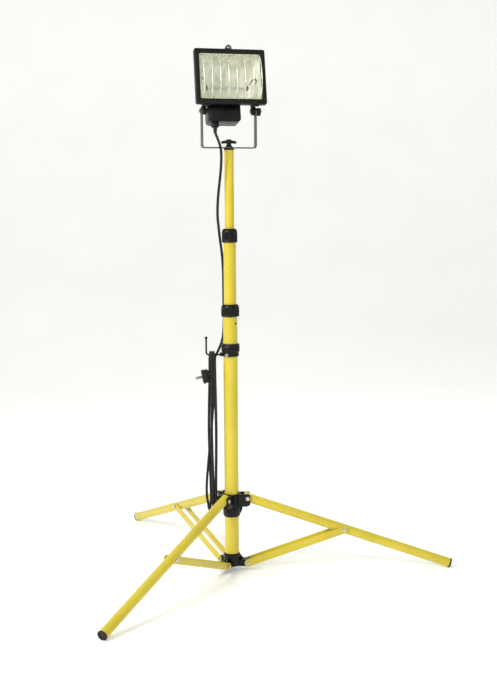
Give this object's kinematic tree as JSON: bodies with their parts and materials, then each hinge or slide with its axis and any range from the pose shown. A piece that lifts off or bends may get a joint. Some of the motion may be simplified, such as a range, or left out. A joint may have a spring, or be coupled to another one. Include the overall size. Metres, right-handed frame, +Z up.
{
  "type": "work light",
  "caption": "Halogen floodlight on a telescopic mast with three folding braced legs, a steel yoke, a hook for its coiled mains cord and a wire guard over the glass",
  "frame": {"origin": "on the floor, under the middle of the lamp's box measured without its cord", "axes": "+Z up, the beam points towards -Y and a little to +X, the right leg lies along +X"},
  "size_m": [0.906, 1.0432, 1.3938],
  "materials": {
    "yellow_enamel": "gloss powder coat",
    "black_plastic": "moulded nylon",
    "black_casting": "textured black powder coat",
    "zinc_steel": "zinc plated",
    "bright_wire": "bright zinc wire",
    "hammered_aluminium": "hammered reflector sheet",
    "toughened_glass": "clear",
    "quartz": "clear quartz",
    "ceramic": "steatite",
    "black_rubber": "cord rubber",
    "nickel": "nickel plated brass"
  },
  "bodies": {
    "mast_base": {"outer_tube": "yellow_enamel", "spreader_hub": "black_plastic", "hook_band": "black_plastic", "hook_band_screw": "zinc_steel", "cable_hook": "black_plastic", "cord_hank": "black_rubber", "cord_drop": "black_rubber", "plug_body": "black_rubber", "plug_pin_front": "nickel", "plug_pin_back": "nickel", "spreader_bolt_1": "zinc_steel", "spreader_bolt_2": "zinc_steel", "spreader_bolt_3": "zinc_steel"},
    "sliding_hub": {"sliding_hub": "black_plastic", "hub_bolt_1": "zinc_steel", "hub_bolt_2": "zinc_steel", "hub_bolt_3": "zinc_steel"},
    "hub_clamp_knob": {"hub_clamp_knob": "black_plastic"},
    "lower_collar": {"lower_collar": "black_plastic"},
    "upper_collar": {"upper_collar": "black_plastic"},
    "middle_mast": {"middle_tube": "yellow_enamel", "middle_bush": "black_plastic"},
    "top_mast": {"top_tube": "yellow_enamel", "top_bush": "black_plastic", "top_plug": "black_plastic"},
    "yoke_knob": {"yoke_knob": "black_plastic"},
    "yoke": {"yoke": "zinc_steel"},
    "tilt_knob": {"tilt_knob": "black_plastic"},
    "head": {"housing": "black_casting", "reflector": "hammered_aluminium", "halogen_lamp": "quartz", "lampholder_left": "ceramic", "lampholder_right": "ceramic", "terminal_box": "black_plastic", "terminal_cover": "black_plastic", "terminal_block": "ceramic", "cable_gland": "black_plastic", "gland_nut": "black_plastic", "tilt_stud": "zinc_steel", "tilt_bolt": "zinc_steel"},
    "front_frame": {"bezel": "black_casting", "front_glass": "toughened_glass", "glass_seal": "black_rubber", "wire_guard": "bright_wire", "bezel_screw": "zinc_steel"},
    "brace_1": {"brace_bar_1_a": "yellow_enamel", "brace_bar_1_b": "yellow_enamel", "leg_bolt_1": "zinc_steel"},
    "leg_1": {"leg_tube_1": "yellow_enamel", "foot_plug_1": "black_plastic"},
    "brace_2": {"brace_bar_2_a": "yellow_enamel", "brace_bar_2_b": "yellow_enamel", "leg_bolt_2": "zinc_steel"},
    "leg_2": {"leg_tube_2": "yellow_enamel", "foot_plug_2": "black_plastic"},
    "brace_3": {"brace_bar_3_a": "yellow_enamel", "brace_bar_3_b": "yellow_enamel", "leg_bolt_3": "zinc_steel"},
    "leg_3": {"leg_tube_3": "yellow_enamel", "foot_plug_3": "black_plastic"}
  },
  "joints": [
    {"name": "leg_fold", "type": "hinge", "parent": "mast_base", "child": "brace_1", "pos_m": [-0.1019, 0, 0.02165], "axis": [0, -1, 0], "range_deg": [0, 66]},
    {"name": "leg_1_on_brace", "type": "hinge", "parent": "brace_1", "child": "leg_1", "pos_m": [0.15832, 0, 0.11059], "axis": [0, -1, 0], "range_deg": [-132, 0]},
    {"name": "brace_2_fold", "type": "hinge", "parent": "mast_base", "child": "brace_2", "pos_m": [-0.1664, 0.03724, 0.02165], "axis": [0.866, 0.5, 0], "range_deg": [0, 66]},
    {"name": "leg_2_on_brace", "type": "hinge", "parent": "brace_2", "child": "leg_2", "pos_m": [-0.29651, 0.2626, 0.11059], "axis": [0.866, 0.5, 0], "range_deg": [-132, 0]},
    {"name": "brace_3_fold", "type": "hinge", "parent": "mast_base", "child": "brace_3", "pos_m": [-0.1664, -0.03724, 0.02165], "axis": [-0.866, 0.5, 0], "range_deg": [0, 66]},
    {"name": "leg_3_on_brace", "type": "hinge", "parent": "brace_3", "child": "leg_3", "pos_m": [-0.29651, -0.2626, 0.11059], "axis": [-0.866, 0.5, 0], "range_deg": [-132, 0]},
    {"name": "hub_on_leg_1", "type": "hinge", "parent": "leg_1", "child": "sliding_hub", "pos_m": [-0.1019, 0, 0.19953], "axis": [0, -1, 0], "range_deg": [0, 66]},
    {"name": "hub_clamp_turn", "type": "hinge", "parent": "sliding_hub", "child": "hub_clamp_knob", "pos_m": [-0.1299, 0.02598, 0.18053], "axis": [0.5, 0.866, 0], "range_deg": [0, 180]},
    {"name": "lower_collar_twist", "type": "hinge", "parent": "mast_base", "child": "lower_collar", "pos_m": [-0.1449, 0, 0.706], "axis": [0, 0, 1], "range_deg": [0, 120]},
    {"name": "middle_mast_slide", "type": "slide", "parent": "mast_base", "child": "middle_mast", "axis": [0, 0, 1], "range_m": [-0.16, 0.3], "deforming": ["cord_drop"]},
    {"name": "upper_collar_twist", "type": "hinge", "parent": "middle_mast", "child": "upper_collar", "pos_m": [-0.1449, 0, 0.903], "axis": [0, 0, 1], "range_deg": [0, 120]},
    {"name": "top_mast_slide", "type": "slide", "parent": "middle_mast", "child": "top_mast", "axis": [0, 0, 1], "range_m": [-0.2, 0.26], "deforming": ["cord_drop"]},
    {"name": "yoke_knob_turn", "type": "hinge", "parent": "top_mast", "child": "yoke_knob", "pos_m": [-0.1449, 0, 1.141], "axis": [0, 0, 1], "range_deg": [0, 180]},
    {"name": "yoke_swivel", "type": "hinge", "parent": "top_mast", "child": "yoke", "pos_m": [-0.1449, 0, 1.131], "axis": [0, 0, 1], "range_deg": [-90, 90], "deforming": ["cord_drop"]},
    {"name": "head_tilt", "type": "hinge", "parent": "yoke", "child": "head", "pos_m": [-0.1449, 0, 1.225], "axis": [0.9744, 0.225, 0], "range_deg": [-70, 60], "deforming": ["cord_drop"]},
    {"name": "tilt_knob_turn", "type": "hinge", "parent": "head", "child": "tilt_knob", "pos_m": [-0.06695, 0.018, 1.225], "axis": [0.9744, 0.225, 0], "range_deg": [0, 180]},
    {"name": "front_frame_hinge", "type": "hinge", "parent": "head", "child": "front_frame", "pos_m": [-0.13861, -0.02725, 1.23757], "axis": [0.9744, 0.225, 0], "range_deg": [0, 60]}
  ],
  "couplings": [
    {"joint": "leg_1_on_brace", "follows": "leg_fold", "ratio": -2},
    {"joint": "brace_2_fold", "follows": "leg_fold", "ratio": 1},
    {"joint": "leg_2_on_brace", "follows": "leg_fold", "ratio": -2},
    {"joint": "brace_3_fold", "follows": "leg_fold", "ratio": 1},
    {"joint": "leg_3_on_brace", "follows": "leg_fold", "ratio": -2},
    {"joint": "hub_on_leg_1", "follows": "leg_fold", "ratio": 1}
  ]
}
